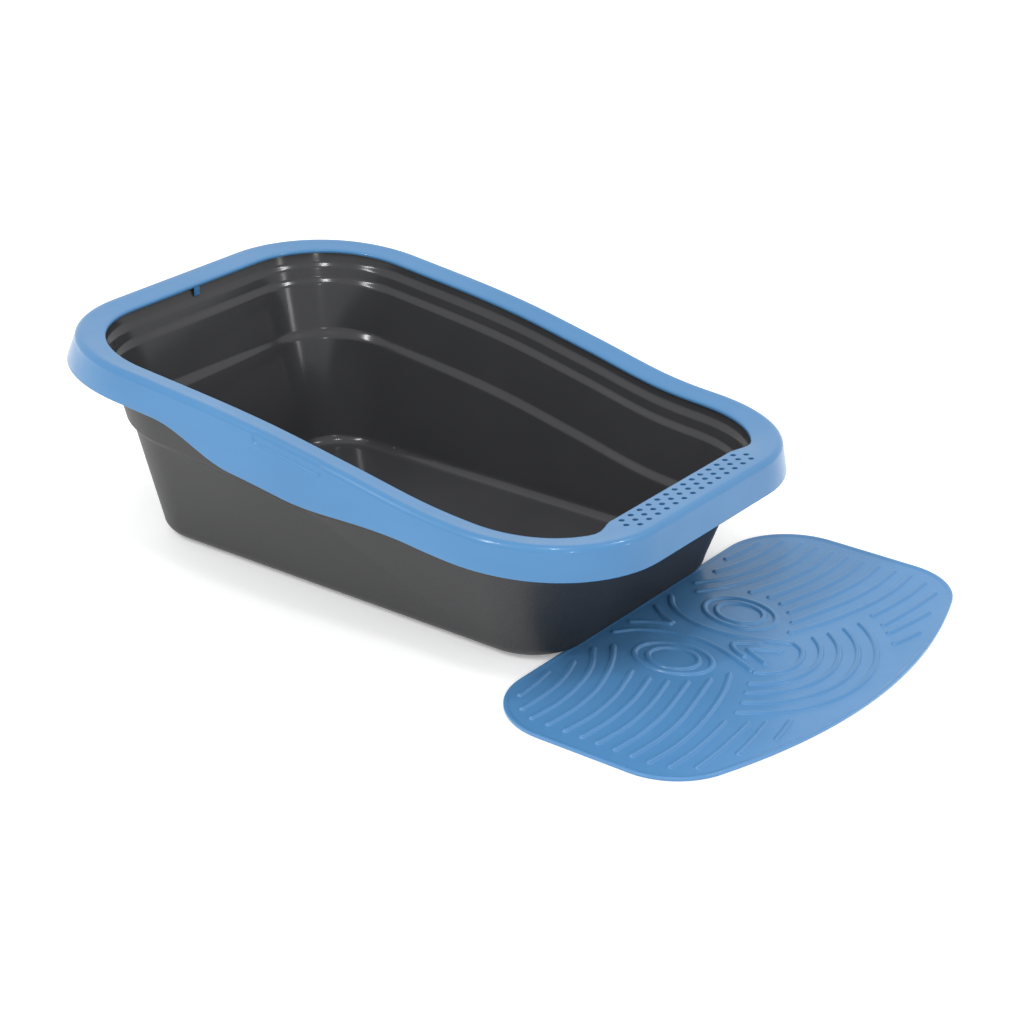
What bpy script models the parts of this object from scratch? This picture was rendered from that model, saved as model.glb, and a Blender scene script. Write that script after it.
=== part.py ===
"""Open cat litter tray with a clip-on rim and a loose paw mat.

Metres, +Z up, the entrance faces -Y. The tray stands on the plane z = 0 and the
origin is at the bottom centre of the whole set, the mat lying in front of the tray.
"""

import math

import bmesh
import bpy
import numpy as np

# ---------------------------------------------------------------- driving dimensions
# Tray: the outer wall where its planes would meet the floor plane.
BASE_HALF_WIDTH = 0.127
BASE_LENGTH = 0.436
BASE_CORNER_RADIUS = 0.048
SIDE_LEAN = 0.21  # outward travel of the wall per metre of height
FRONT_LEAN = 0.33
REAR_LEAN = 0.255
BOTTOM_EDGE_RADIUS = 0.013
TRAY_WALL = 0.0025
FOOT_HEIGHT = 0.002
FOOT_REACH = 0.06  # along each side, from the outer wall
FOOT_INSET = 0.011  # from the outer wall plane to the pad

# Height of the rim's inner edge, which every other height hangs from.
ENTRANCE_HEIGHT = 0.1235
BACK_HEIGHT = 0.181
# Share of the rise reached at each share of the way from the entrance to the back.
RIM_SWEEP = ((0.0, 0.0), (0.09, 0.012), (0.24, 0.1), (0.4, 0.375), (0.55, 0.625), (0.75, 0.84), (1.0, 1.0))

# Wall section of the tray: (offset outward, drop below the rim's inner edge).
LEDGE_OUT = 0.003
LEDGE_DROP = 0.075
LEDGE_HEIGHT = 0.006
BEAD_OUT = 0.0025
BEAD_DROP = 0.026
BEAD_HEIGHT = 0.004
UPPER_BEAD_DROP = 0.0125

# Rim: a channel that sits over the tray's lip.
RIM_WALL = 0.0025
RIM_INNER_OFFSET = 0.0005
RIM_LIP_DEPTH = 0.0032
FLANGE_SIDE_WIDTH = 0.024
FLANGE_FRONT_WIDTH = 0.028
FLANGE_REAR_WIDTH = 0.0285
FLANGE_RISE = 0.003  # from the inner edge up to the shoulder
SHOULDER_RADIUS = 0.006
INNER_ROUND = 0.0015
SKIRT_DEPTH = 0.0245
SKIRT_SIDE_LEAN = 0.16
SKIRT_FRONT_LEAN = 0.17
SKIRT_REAR_LEAN = 0.5
WING_DEPTH = 0.0165
WING_FRONT = -0.13
WING_FRONT_FLANK = 0.13
WING_REAR = 0.135
WING_REAR_FLANK = 0.085
TAB_WIDTH = 0.0068
TAB_DROP = 0.008
TAB_THICKNESS = 0.0015
TAB_INSET = 0.0002  # behind the lip's inner face
TAB_GAP = 0.0005  # between the tab's foot and the tray

# Perforated strip in the entrance side of the rim.
STRIP_REACH = 0.012
STRIP_HALF_WIDTH = 0.083
STRIP_BLEND = 0.03
HOLE_DIAMETER = 0.0048
HOLE_PITCH = 0.0121
HOLE_ROW_GAP = 0.0086
HOLE_ROWS = (14, 15, 14)
FIRST_ROW_INSET = 0.0077
HOLE_SIDES = 8

# Mat: straight behind, bowed in front.
MAT_HALF_WIDTH = 0.2125
MAT_LENGTH = 0.2343
MAT_BOW = 0.0485
MAT_REAR_RADIUS = 0.063
MAT_FRONT_RADIUS = 0.059
MAT_THICKNESS = 0.0018
MAT_BEAD_HEIGHT = 0.0006
MAT_BEAD_WIDTH = 0.004
MAT_BEAD_TOP_WIDTH = 0.0016
MAT_TUCK = 0.0068  # how far it reaches under the tray's rounded front edge

SEAT_GAP = 0.0005  # rim resting on the tray

# Fineness of the mesh.
SIDE_STEPS = 12
END_STEPS = 12
CORNER_STEPS = 9
PAD_CORNER_STEPS = 6
BOTTOM_EDGE_TURNS = (90.0, 62.0, 34.0, 8.0)  # degrees round the bottom edge
SETTLING_ROUNDS = 8  # enough for each solved position to stop moving
SHARP_ANGLE = 35.0  # degrees

HALFWAY_IN = 1 - math.sqrt(0.5)  # how far the middle of a quarter round cuts its corner, per radius


# ---------------------------------------------------------------- outlines and sections
def ramp(value):
    """0 to 1 with level ends."""
    t = np.clip(value, 0.0, 1.0)
    return t * t * (3.0 - 2.0 * t)


def rounded_rectangle(half_width, length, radius):
    """Points and outward normals, counter-clockwise, starting on the entrance side."""
    points = []
    normals = []
    half_length = length / 2
    corners = (
        (half_width - radius, -half_length + radius, -math.pi / 2, SIDE_STEPS),
        (half_width - radius, half_length - radius, 0.0, END_STEPS),
        (-half_width + radius, half_length - radius, math.pi / 2, SIDE_STEPS),
        (-half_width + radius, -half_length + radius, math.pi, END_STEPS),
    )
    for index, (centre_x, centre_y, start, straight_steps) in enumerate(corners):
        for step in range(CORNER_STEPS + 1):
            angle = start + step / CORNER_STEPS * math.pi / 2
            normal = np.array([math.cos(angle), math.sin(angle)])
            points.append(np.array([centre_x, centre_y]) + radius * normal)
            normals.append(normal)
        next_x, next_y, next_start, _ = corners[(index + 1) % 4]
        next_normal = np.array([math.cos(next_start), math.sin(next_start)])
        begin = points[-1]
        end = np.array([next_x, next_y]) + radius * next_normal
        for step in range(1, straight_steps):
            points.append(begin + (end - begin) * step / straight_steps)
            normals.append(next_normal)
    return np.array(points), np.array(normals)


def curve_through(knots, at):
    """Smooth curve through (place, value) knots, level at both ends."""
    place, value = np.array(knots).T
    slope = np.gradient(value, place)
    slope[0] = 0.0
    slope[-1] = 0.0
    left = np.clip(np.searchsorted(place, at) - 1, 0, len(place) - 2)
    span = place[left + 1] - place[left]
    t = (at - place[left]) / span
    return (
        (2 * t**3 - 3 * t**2 + 1) * value[left]
        + (t**3 - 2 * t**2 + t) * span * slope[left]
        + (3 * t**2 - 2 * t**3) * value[left + 1]
        + (t**3 - t**2) * span * slope[left + 1]
    )


def rim_height(y):
    """Height of the rim's inner edge: low at the entrance, high at the back."""
    front = -BASE_LENGTH / 2 - ENTRANCE_HEIGHT * FRONT_LEAN
    back = BASE_LENGTH / 2 + BACK_HEIGHT * REAR_LEAN
    share = curve_through(RIM_SWEEP, np.clip((y - front) / (back - front), 0.0, 1.0))
    return ENTRANCE_HEIGHT + (BACK_HEIGHT - ENTRANCE_HEIGHT) * share


class Stations:
    """The stations round the tray that the wall and the rim are lofted through."""

    def __init__(self):
        self.base, self.normal = rounded_rectangle(BASE_HALF_WIDTH, BASE_LENGTH, BASE_CORNER_RADIUS)
        across = self.normal[:, 0] ** 2
        along = self.normal[:, 1] ** 2
        end_lean = np.where(self.normal[:, 1] < 0, FRONT_LEAN, REAR_LEAN)
        self.lean = SIDE_LEAN * across + end_lean * along
        end_flange = np.where(self.normal[:, 1] < 0, FLANGE_FRONT_WIDTH, FLANGE_REAR_WIDTH)
        self.flange = FLANGE_SIDE_WIDTH * across + end_flange * along
        end_skirt = np.where(self.normal[:, 1] < 0, SKIRT_FRONT_LEAN, SKIRT_REAR_LEAN)
        self.skirt_lean = SKIRT_SIDE_LEAN * across + end_skirt * along
        y = self.base[:, 1]
        for _ in range(SETTLING_ROUNDS):
            self.height = rim_height(y)
            offset = self.height * self.lean + RIM_INNER_OFFSET
            y = self.base[:, 1] + self.normal[:, 1] * offset
        self.edge = self.base + self.normal * offset[:, None]
        x, y = self.edge.T
        self.strip = STRIP_REACH * ramp((STRIP_HALF_WIDTH + STRIP_BLEND - abs(x)) / STRIP_BLEND)
        self.strip = np.where(y < 0.0, self.strip, 0.0)
        wing = ramp((y - WING_FRONT) / WING_FRONT_FLANK) * ramp((WING_REAR - y) / WING_REAR_FLANK)
        self.skirt = SKIRT_DEPTH + WING_DEPTH * wing * across

    def on_wall(self, offset, drop):
        """Ring on the leaning wall, at a drop below the rim's inner edge."""
        z = self.height - drop
        flat = self.base + self.normal * (z * self.lean + offset)[:, None]
        return np.column_stack([flat, z])

    def at_height(self, offset, z):
        """Level ring, at an offset from the wall planes where they meet the floor plane."""
        flat = self.base + self.normal * np.broadcast_to(offset, len(self.base))[:, None]
        return np.column_stack([flat, np.full(len(flat), z)])

    def on_rim(self, offset, drop):
        """Ring at an offset outward from the rim's inner edge, and a drop below it."""
        flat = self.edge + self.normal * np.broadcast_to(offset, len(self.edge))[:, None]
        return np.column_stack([flat, self.height - drop])


def loft(name, rings, ends):
    """Mesh through closed rings of equal count: ends is 'caps' or 'joined'."""
    shape = bmesh.new()
    loops = [[shape.verts.new(point) for point in ring] for ring in rings]
    pairs = list(zip(loops, loops[1:]))
    if ends == "joined":
        pairs.append((loops[-1], loops[0]))
    else:
        shape.faces.new(loops[0])
        shape.faces.new(loops[-1])
    for lower, upper in pairs:
        count = len(lower)
        for i in range(count):
            j = (i + 1) % count
            shape.faces.new((lower[i], lower[j], upper[j], upper[i]))
    bmesh.ops.recalc_face_normals(shape, faces=shape.faces)
    mesh = bpy.data.meshes.new(name)
    shape.to_mesh(mesh)
    shape.free()
    return mesh


# ---------------------------------------------------------------- scene helpers
def clear_scene():
    for obj in list(bpy.data.objects):
        bpy.data.objects.remove(obj, do_unlink=True)


def new_collection(name, hidden):
    collection = bpy.data.collections.new(name)
    bpy.context.scene.collection.children.link(collection)
    collection.hide_render = hidden
    return collection


def new_object(name, mesh, collection, parent):
    obj = bpy.data.objects.new(name, mesh)
    collection.objects.link(obj)
    obj.parent = parent
    return obj


def as_cutter(obj):
    obj.hide_render = True
    obj.display_type = "WIRE"
    return obj


def boolean(obj, other, operation):
    modifier = obj.modifiers.new(other.name, "BOOLEAN")
    modifier.object = other
    modifier.operation = operation
    modifier.solver = "EXACT"


def material(name, colour, roughness):
    shader = bpy.data.materials.new(name)
    shader.use_nodes = True
    surface = shader.node_tree.nodes["Principled BSDF"]
    surface.inputs["Base Color"].default_value = (*colour, 1.0)
    surface.inputs["Roughness"].default_value = roughness
    surface.inputs["Metallic"].default_value = 0.0
    return shader


# ---------------------------------------------------------------- tray
def bottom_rings(stations, radius):
    """The rounded edge between wall and floor, floor side first, about one common centre."""
    lean_angle = np.arctan(stations.lean)
    centre_z = FOOT_HEIGHT + BOTTOM_EDGE_RADIUS
    centre = centre_z * stations.lean - BOTTOM_EDGE_RADIUS / np.cos(lean_angle)
    rings = []
    for turn in np.radians(BOTTOM_EDGE_TURNS):
        offset = centre + radius * np.cos(turn)
        rings.append(stations.at_height(offset, centre_z - radius * np.sin(turn)))
    return rings


def seat_drop(stations, offset):
    """Drop of the tray's lip where the rim rests on it, which rises outward as the rim does."""
    slope = FLANGE_RISE / (stations.flange - SHOULDER_RADIUS - RIM_WALL)
    return RIM_WALL + SEAT_GAP - slope * (offset - RIM_WALL)


def tray_throat():
    """Offset of the tray's inner face under the lip, which clears the rim's tab."""
    tab_back = RIM_INNER_OFFSET + TAB_INSET + TAB_THICKNESS
    tab_foot_drop = RIM_LIP_DEPTH + TAB_DROP
    return tab_back + tab_foot_drop * REAR_LEAN + TAB_GAP


def tray_wall_section(stations):
    """Outer (offset, drop) points from below the ledge up to the end of the lip."""
    neck = tray_throat() + TRAY_WALL
    lip_end = stations.flange + RIM_INNER_OFFSET - SHOULDER_RADIUS
    return (
        (0.0, LEDGE_DROP + LEDGE_HEIGHT / 2),
        (LEDGE_OUT, LEDGE_DROP - LEDGE_HEIGHT / 2),
        (LEDGE_OUT, BEAD_DROP + BEAD_HEIGHT),
        (LEDGE_OUT + BEAD_OUT, BEAD_DROP),
        (LEDGE_OUT + BEAD_OUT, UPPER_BEAD_DROP + BEAD_HEIGHT),
        (neck, UPPER_BEAD_DROP),
        (neck, seat_drop(stations, neck) + TRAY_WALL),
        (lip_end, seat_drop(stations, lip_end) + TRAY_WALL),
    )


def tray_mesh(stations):
    outer = bottom_rings(stations, BOTTOM_EDGE_RADIUS)
    section = tray_wall_section(stations)
    outer += [stations.on_wall(offset, drop) for offset, drop in section]
    lip_end = section[-1][0]
    inner = [stations.on_wall(offset, seat_drop(stations, offset)) for offset in (lip_end, tray_throat())]
    inner += [stations.on_wall(offset - TRAY_WALL, drop) for offset, drop in reversed(section[:-2])]
    inner += reversed(bottom_rings(stations, BOTTOM_EDGE_RADIUS - TRAY_WALL))
    return loft("tray", outer + inner, "caps")


def foot_mesh():
    """One corner pad of the tray, in the +X, +Y corner."""
    inset_radius = BASE_CORNER_RADIUS - FOOT_INSET
    far_x = BASE_HALF_WIDTH - FOOT_INSET
    far_y = BASE_LENGTH / 2 - FOOT_INSET
    near_x = BASE_HALF_WIDTH - FOOT_REACH
    near_y = BASE_LENGTH / 2 - FOOT_REACH
    outline = [(near_x, near_y), (far_x, near_y)]
    for step in range(PAD_CORNER_STEPS + 1):
        angle = step / PAD_CORNER_STEPS * math.pi / 2
        x = far_x - inset_radius * (1 - math.cos(angle))
        y = far_y - inset_radius * (1 - math.sin(angle))
        outline.append((x, y))
    outline.append((near_x, far_y))
    top = FOOT_HEIGHT + TRAY_WALL / 2
    rings = [[(x, y, z) for x, y in outline] for z in (0.0, top)]
    return loft("foot", rings, "caps")


# ---------------------------------------------------------------- rim
def rim_section(stations):
    """Closed section: over the flange from the lip to the skirt, and back underneath."""
    flange = stations.flange
    skirt = stations.skirt
    inner = -stations.strip
    shoulder = SHOULDER_RADIUS - FLANGE_RISE
    skirt_reach = (skirt - shoulder) * stations.skirt_lean
    lip_cut = HALFWAY_IN * INNER_ROUND
    shoulder_cut = HALFWAY_IN * SHOULDER_RADIUS
    over = (
        (inner, RIM_LIP_DEPTH),
        (inner, INNER_ROUND),
        (inner + lip_cut, lip_cut),
        (inner + INNER_ROUND, 0.0),
        (flange - SHOULDER_RADIUS, -FLANGE_RISE),
        (flange - shoulder_cut, shoulder_cut - FLANGE_RISE),
        (flange, shoulder),
        (flange + skirt_reach, skirt),
    )
    under = (
        (flange + skirt_reach - RIM_WALL, skirt),
        (flange - RIM_WALL, shoulder),
        (flange - SHOULDER_RADIUS, RIM_WALL - FLANGE_RISE),
        (inner + RIM_WALL, RIM_WALL),
        (inner + RIM_WALL, RIM_LIP_DEPTH),
    )
    return over + under


def rim_mesh(stations):
    rings = [stations.on_rim(offset, drop) for offset, drop in rim_section(stations)]
    return loft("rim", rings, "joined")


def perforations_mesh(stations):
    """Staggered rows of round holes through the entrance strip, as one cutter mesh."""
    entrance = stations.edge[:, 1].min()
    shape = bmesh.new()
    for row, count in enumerate(HOLE_ROWS):
        y = entrance + STRIP_REACH - FIRST_ROW_INSET - row * HOLE_ROW_GAP
        for place in range(count):
            x = (place - (count - 1) / 2) * HOLE_PITCH
            made = bmesh.ops.create_cone(
                shape,
                cap_ends=True,
                segments=HOLE_SIDES,
                radius1=HOLE_DIAMETER / 2,
                radius2=HOLE_DIAMETER / 2,
                depth=3 * RIM_WALL,
            )
            centre = (x, y, ENTRANCE_HEIGHT - RIM_WALL / 2)
            bmesh.ops.translate(shape, verts=made["verts"], vec=centre)
    mesh = bpy.data.meshes.new("perforations")
    shape.to_mesh(mesh)
    shape.free()
    return mesh


def tab_mesh(stations):
    """Small locating tab under the rim's lip, in the middle of the back."""
    back = stations.edge[:, 1].max()
    bottom = BACK_HEIGHT - RIM_LIP_DEPTH - TAB_DROP
    top = BACK_HEIGHT - RIM_LIP_DEPTH + RIM_WALL
    shape = bmesh.new()
    made = bmesh.ops.create_cube(shape, size=1.0)
    size = (TAB_WIDTH, TAB_THICKNESS, top - bottom)
    bmesh.ops.scale(shape, verts=made["verts"], vec=size)
    centre = (0.0, back + TAB_INSET + TAB_THICKNESS / 2, (top + bottom) / 2)
    bmesh.ops.translate(shape, verts=made["verts"], vec=centre)
    mesh = bpy.data.meshes.new("rim_tab")
    shape.to_mesh(mesh)
    shape.free()
    return mesh


# ---------------------------------------------------------------- mat
def mat_outline():
    """Points and outward normals: straight back, round corners, bowed front."""
    points = []
    normals = []

    def arc(centre, radius, start, turn):
        for step in range(CORNER_STEPS + 1):
            angle = start + step / CORNER_STEPS * turn
            normal = np.array([math.cos(angle), math.sin(angle)])
            points.append(np.array(centre) + radius * normal)
            normals.append(normal)

    bow_end = MAT_HALF_WIDTH - MAT_FRONT_RADIUS
    for _ in range(SETTLING_ROUNDS):
        slope = 2 * MAT_BOW * bow_end / MAT_HALF_WIDTH**2
        lean = math.atan(slope)
        bow_end = MAT_HALF_WIDTH - MAT_FRONT_RADIUS * (1 - math.sin(lean))
    front_x = MAT_HALF_WIDTH - MAT_FRONT_RADIUS
    front_y = MAT_BOW * (bow_end / MAT_HALF_WIDTH) ** 2 - MAT_LENGTH + MAT_FRONT_RADIUS * math.cos(lean)
    rear_x = MAT_HALF_WIDTH - MAT_REAR_RADIUS
    for step in range(1, 2 * END_STEPS):
        x = bow_end * (step / END_STEPS - 1)
        points.append(np.array([x, MAT_BOW * (x / MAT_HALF_WIDTH) ** 2 - MAT_LENGTH]))
        normal = np.array([2 * MAT_BOW * x / MAT_HALF_WIDTH**2, -1.0])
        normals.append(normal / np.linalg.norm(normal))
    arc((front_x, front_y), MAT_FRONT_RADIUS, lean - math.pi / 2, math.pi / 2 - lean)
    arc((rear_x, -MAT_REAR_RADIUS), MAT_REAR_RADIUS, 0.0, math.pi / 2)
    arc((-rear_x, -MAT_REAR_RADIUS), MAT_REAR_RADIUS, math.pi / 2, math.pi / 2)
    arc((-front_x, front_y), MAT_FRONT_RADIUS, math.pi, math.pi / 2 - lean)
    return np.array(points), np.array(normals)


def mat_mesh():
    points, normals = mat_outline()
    bead = MAT_THICKNESS + MAT_BEAD_HEIGHT
    bead_flank = (MAT_BEAD_WIDTH - MAT_BEAD_TOP_WIDTH) / 2
    rings = []
    for inset, z in (
        (0.0, 0.0),
        (0.0, MAT_THICKNESS),
        (bead_flank, bead),
        (bead_flank + MAT_BEAD_TOP_WIDTH, bead),
        (MAT_BEAD_WIDTH, MAT_THICKNESS),
    ):
        flat = points - normals * inset
        rings.append(np.column_stack([flat, np.full(len(flat), z)]))
    return loft("mat", rings, "caps")


# ---------------------------------------------------------------- assembly
def build():
    clear_scene()
    parts = new_collection("cat_litter_tray", hidden=False)
    cutters = new_collection("cutters", hidden=True)
    stations = Stations()

    tray_plastic = material("tray_plastic", (0.045, 0.046, 0.05), 0.35)
    rim_plastic = material("rim_plastic", (0.1, 0.27, 0.53), 0.35)
    mat_plastic = material("mat_plastic", (0.1, 0.24, 0.45), 0.45)

    rim_shape = rim_mesh(stations)
    back = max(vertex.co.y for vertex in rim_shape.vertices)
    front_wall = -BASE_LENGTH / 2
    mat_rear = front_wall + MAT_TUCK
    mat_shape = mat_mesh()
    front = mat_rear + min(vertex.co.y for vertex in mat_shape.vertices)
    tray_place = bpy.data.objects.new("tray_origin", None)
    parts.objects.link(tray_place)
    tray_place.location = (0.0, -(back + front) / 2, 0.0)

    tray = new_object("tray", tray_mesh(stations), parts, tray_place)
    tray.data.materials.append(tray_plastic)
    corner_pad = foot_mesh()
    for side_name, side in (("right", 1), ("left", -1)):
        for end_name, end in (("rear", 1), ("front", -1)):
            pad_mesh = corner_pad.copy()
            for vertex in pad_mesh.vertices:
                vertex.co.x *= side
                vertex.co.y *= end
            if side * end < 0:
                pad_mesh.flip_normals()
            pad = new_object(f"foot_{end_name}_{side_name}", pad_mesh, cutters, tray_place)
            boolean(tray, as_cutter(pad), "UNION")

    rim = new_object("rim", rim_shape, parts, tray_place)
    rim.data.materials.append(rim_plastic)
    tab = new_object("rim_tab", tab_mesh(stations), cutters, tray_place)
    boolean(rim, as_cutter(tab), "UNION")
    holes = new_object("perforations", perforations_mesh(stations), cutters, tray_place)
    boolean(rim, as_cutter(holes), "DIFFERENCE")

    mat = new_object("mat", mat_shape, parts, tray_place)
    mat.location = (0.0, mat_rear, 0.0)
    mat.data.materials.append(mat_plastic)
    for obj in (tray, rim, mat):
        obj.data.shade_smooth()
        obj.data.set_sharp_from_angle(angle=math.radians(SHARP_ANGLE))


build()
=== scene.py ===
"""Looks of the open cat litter tray: moulded tray, clip-on rim and ribbed mat.

Metres, +Z up, the entrance faces -Y. Each visible piece is lofted finely over the same
outline as its CAD solid, with the roundings, ribs and recesses that the solid leaves out.
"""

import math

import bmesh
import bpy
import numpy as np
from mathutils import Matrix, Vector


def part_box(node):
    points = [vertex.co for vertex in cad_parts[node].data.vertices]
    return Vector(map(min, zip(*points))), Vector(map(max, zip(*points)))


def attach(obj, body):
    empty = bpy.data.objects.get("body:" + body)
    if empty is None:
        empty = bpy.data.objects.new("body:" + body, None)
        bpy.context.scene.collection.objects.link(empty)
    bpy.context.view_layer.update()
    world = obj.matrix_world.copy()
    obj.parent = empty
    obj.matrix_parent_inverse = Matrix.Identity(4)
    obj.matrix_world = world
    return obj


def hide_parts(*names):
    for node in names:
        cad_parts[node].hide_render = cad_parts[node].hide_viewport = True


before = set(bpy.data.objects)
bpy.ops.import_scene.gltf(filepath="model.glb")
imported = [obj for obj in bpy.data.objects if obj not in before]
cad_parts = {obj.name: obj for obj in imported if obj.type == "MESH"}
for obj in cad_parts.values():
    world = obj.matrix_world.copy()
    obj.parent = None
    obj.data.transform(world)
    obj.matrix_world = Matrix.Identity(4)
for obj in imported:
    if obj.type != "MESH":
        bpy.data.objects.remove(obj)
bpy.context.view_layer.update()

# ---------------------------------------------------------------- sizes shared with the CAD
BASE_HALF_WIDTH = 0.127
BASE_LENGTH = 0.436
BASE_CORNER_RADIUS = 0.048
SIDE_LEAN = 0.21
FRONT_LEAN = 0.33
REAR_LEAN = 0.255
BOTTOM_EDGE_RADIUS = 0.013
TRAY_WALL = 0.0025
FOOT_HEIGHT = 0.002
FOOT_REACH = 0.06
FOOT_INSET = 0.011
ENTRANCE_HEIGHT = 0.1235
BACK_HEIGHT = 0.181
RIM_SWEEP = ((0.0, 0.0), (0.09, 0.012), (0.24, 0.1), (0.4, 0.375), (0.55, 0.625), (0.75, 0.84), (1.0, 1.0))
LEDGE_OUT = 0.003
LEDGE_DROP = 0.075
LEDGE_HEIGHT = 0.006
BEAD_OUT = 0.0025
BEAD_DROP = 0.026
BEAD_HEIGHT = 0.004
UPPER_BEAD_DROP = 0.0125
RIM_WALL = 0.0025
RIM_INNER_OFFSET = 0.0005
RIM_LIP_DEPTH = 0.0032
FLANGE_SIDE_WIDTH = 0.024
FLANGE_FRONT_WIDTH = 0.028
FLANGE_REAR_WIDTH = 0.0285
FLANGE_RISE = 0.003
SHOULDER_RADIUS = 0.006
SKIRT_DEPTH = 0.0245
SKIRT_SIDE_LEAN = 0.16
SKIRT_FRONT_LEAN = 0.17
SKIRT_REAR_LEAN = 0.5
WING_DEPTH = 0.0165
WING_FRONT = -0.13
WING_FRONT_FLANK = 0.13
WING_REAR = 0.135
WING_REAR_FLANK = 0.085
TAB_WIDTH = 0.0068
TAB_DROP = 0.008
TAB_THICKNESS = 0.0015
TAB_INSET = 0.0002
TAB_GAP = 0.0005
STRIP_REACH = 0.012
STRIP_HALF_WIDTH = 0.083
STRIP_BLEND = 0.03
HOLE_DIAMETER = 0.0048
HOLE_PITCH = 0.0121
HOLE_ROW_GAP = 0.0086
HOLE_ROWS = (14, 15, 14)
FIRST_ROW_INSET = 0.0077
MAT_HALF_WIDTH = 0.2125
MAT_LENGTH = 0.2343
MAT_BOW = 0.0485
MAT_REAR_RADIUS = 0.063
MAT_FRONT_RADIUS = 0.059
MAT_THICKNESS = 0.0018
MAT_TUCK = 0.0068
SEAT_GAP = 0.0005

# ---------------------------------------------------------------- sizes of the finer shapes
TINY_ROUND = 0.0008  # broken edges of the moulded walls
BEAD_ROUND = 0.0016
OUTER_STEP = 0.0042  # the outside of the wall steps out by this at the ledge, near the back
OUTER_STEP_FRONT = -0.13
OUTER_STEP_BACK = 0.02
FADED_STEP_HEIGHT = 0.05  # height over which the step is spread where it fades out
RECESS_CENTRE = -0.006
RECESS_HALF_LENGTH = 0.035
RECESS_HALF_HEIGHT = 0.0046
RECESS_DROP = 0.0088  # along the section, from the start of the shoulder
RECESS_DEPTH = 0.0011
RECESS_FLANK = 0.0009
LEDGE_ROUND_OUTSIDE = 0.0012
LEDGE_ROUND_INSIDE = 0.0022
LIP_ROUND = 0.0029
FLANGE_CROWN_SHARE = 0.6  # share of the flange's rise that it has halfway across
FLANGE_CROWN_ROUND = 0.007
RIM_INNER_ROUND = 0.003
RECESS_GRID_END = 0.016  # drop down to which the skirt is stepped finely, for the recess
FOOT_TAPER = 0.012
TAB_ROUND = 0.0006
HOLE_SIDES = 28
HOLE_CHAMFER = 0.00035
MAT_EDGE = 0.0006
MAT_BEAD_HEIGHT = 0.0011
MAT_BEAD_WIDTH = 0.0046
RIB_HALF_WIDTH = 0.003
RIB_HEIGHT = 0.0018
RIB_PLATEAU = 0.35  # flat share of a rib's half width
RIB_SPACING = 0.0035
EYE_CENTRE = (0.0488, -0.0752)
EYE_RINGS = ((0.0328, 0.0233), (0.0213, 0.0162))
EYE_TILT = 84.0  # degrees

FLOOR_GLOW = 0.22  # the floor is a softly lit table, which washes out the shadow round the tray
FLOOR_HALF_SIZE = 15.0
FLOOR_DROP = 0.0002  # keeps the floor just under the feet
CAMERA_LENS = 88.82  # mm
CAMERA_AZIMUTH = -52.634  # degrees
CAMERA_ELEVATION = 24.823
CAMERA_DISTANCE = 2.1475
CAMERA_TARGET = (0.0241, -0.0708, 0.0416)  # from the middle of the tray's base

# Fineness of the meshes.
COARSE_STEP = 0.004
FINE_STEP = 0.0007
END_STEP = 0.0025
CORNER_STEPS = 22
ROUND_STEPS = 5
MOST_CUT_SHARE = 0.48  # a rounding takes at most this share of a side
SHARP_ANGLE = math.radians(40)
SHOULDER_STEPS = 12
SETTLING_ROUNDS = 8

TRAY_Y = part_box("mat")[1].y - MAT_TUCK + BASE_LENGTH / 2


# ---------------------------------------------------------------- outlines and sections
def ramp(value):
    """0 to 1 with level ends."""
    t = np.clip(value, 0.0, 1.0)
    return t * t * (3.0 - 2.0 * t)


def evenly(start, end, step):
    """Places from start up to, but without, end, no further apart than step."""
    count = max(1, math.ceil(abs(end - start) / step))
    return np.linspace(start, end, count, endpoint=False)


def outline():
    """Points and outward normals of the base, counter-clockwise from the entrance's +X corner."""
    half_length = BASE_LENGTH / 2
    radius = BASE_CORNER_RADIUS
    near = -half_length + radius
    far = half_length - radius
    edge = BASE_HALF_WIDTH - radius
    fine_start = RECESS_CENTRE - RECESS_HALF_LENGTH - 2 * RECESS_FLANK
    fine_end = RECESS_CENTRE + RECESS_HALF_LENGTH + 2 * RECESS_FLANK
    side = np.concatenate([
        evenly(near, fine_start, COARSE_STEP),
        evenly(fine_start, fine_end, FINE_STEP),
        evenly(fine_end, far, COARSE_STEP),
        [far],
    ])
    end = np.append(evenly(-edge, edge, END_STEP), edge)
    quarter = np.linspace(0.0, math.pi / 2, CORNER_STEPS + 1)[1:-1]
    points = []
    normals = []

    def corner(centre_x, centre_y, start):
        for turn in start + quarter:
            normal = np.array([math.cos(turn), math.sin(turn)])
            points.append(np.array([centre_x, centre_y]) + radius * normal)
            normals.append(normal)

    def straight(line, normal):
        points.extend(np.array(point) for point in line)
        normals.extend([np.array(normal)] * len(line))

    corner(edge, near, -math.pi / 2)
    straight([(BASE_HALF_WIDTH, y) for y in side], (1.0, 0.0))
    corner(edge, far, 0.0)
    straight([(x, half_length) for x in end[::-1]], (0.0, 1.0))
    corner(-edge, far, math.pi / 2)
    straight([(-BASE_HALF_WIDTH, y) for y in side[::-1]], (-1.0, 0.0))
    corner(-edge, near, math.pi)
    straight([(x, -half_length) for x in end], (0.0, -1.0))
    return np.array(points), np.array(normals)


def curve_through(knots, at):
    """Smooth curve through (place, value) knots, level at both ends."""
    place, value = np.array(knots).T
    slope = np.gradient(value, place)
    slope[0] = 0.0
    slope[-1] = 0.0
    left = np.clip(np.searchsorted(place, at) - 1, 0, len(place) - 2)
    span = place[left + 1] - place[left]
    t = (at - place[left]) / span
    return (
        (2 * t**3 - 3 * t**2 + 1) * value[left]
        + (t**3 - 2 * t**2 + t) * span * slope[left]
        + (3 * t**2 - 2 * t**3) * value[left + 1]
        + (t**3 - t**2) * span * slope[left + 1]
    )


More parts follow.
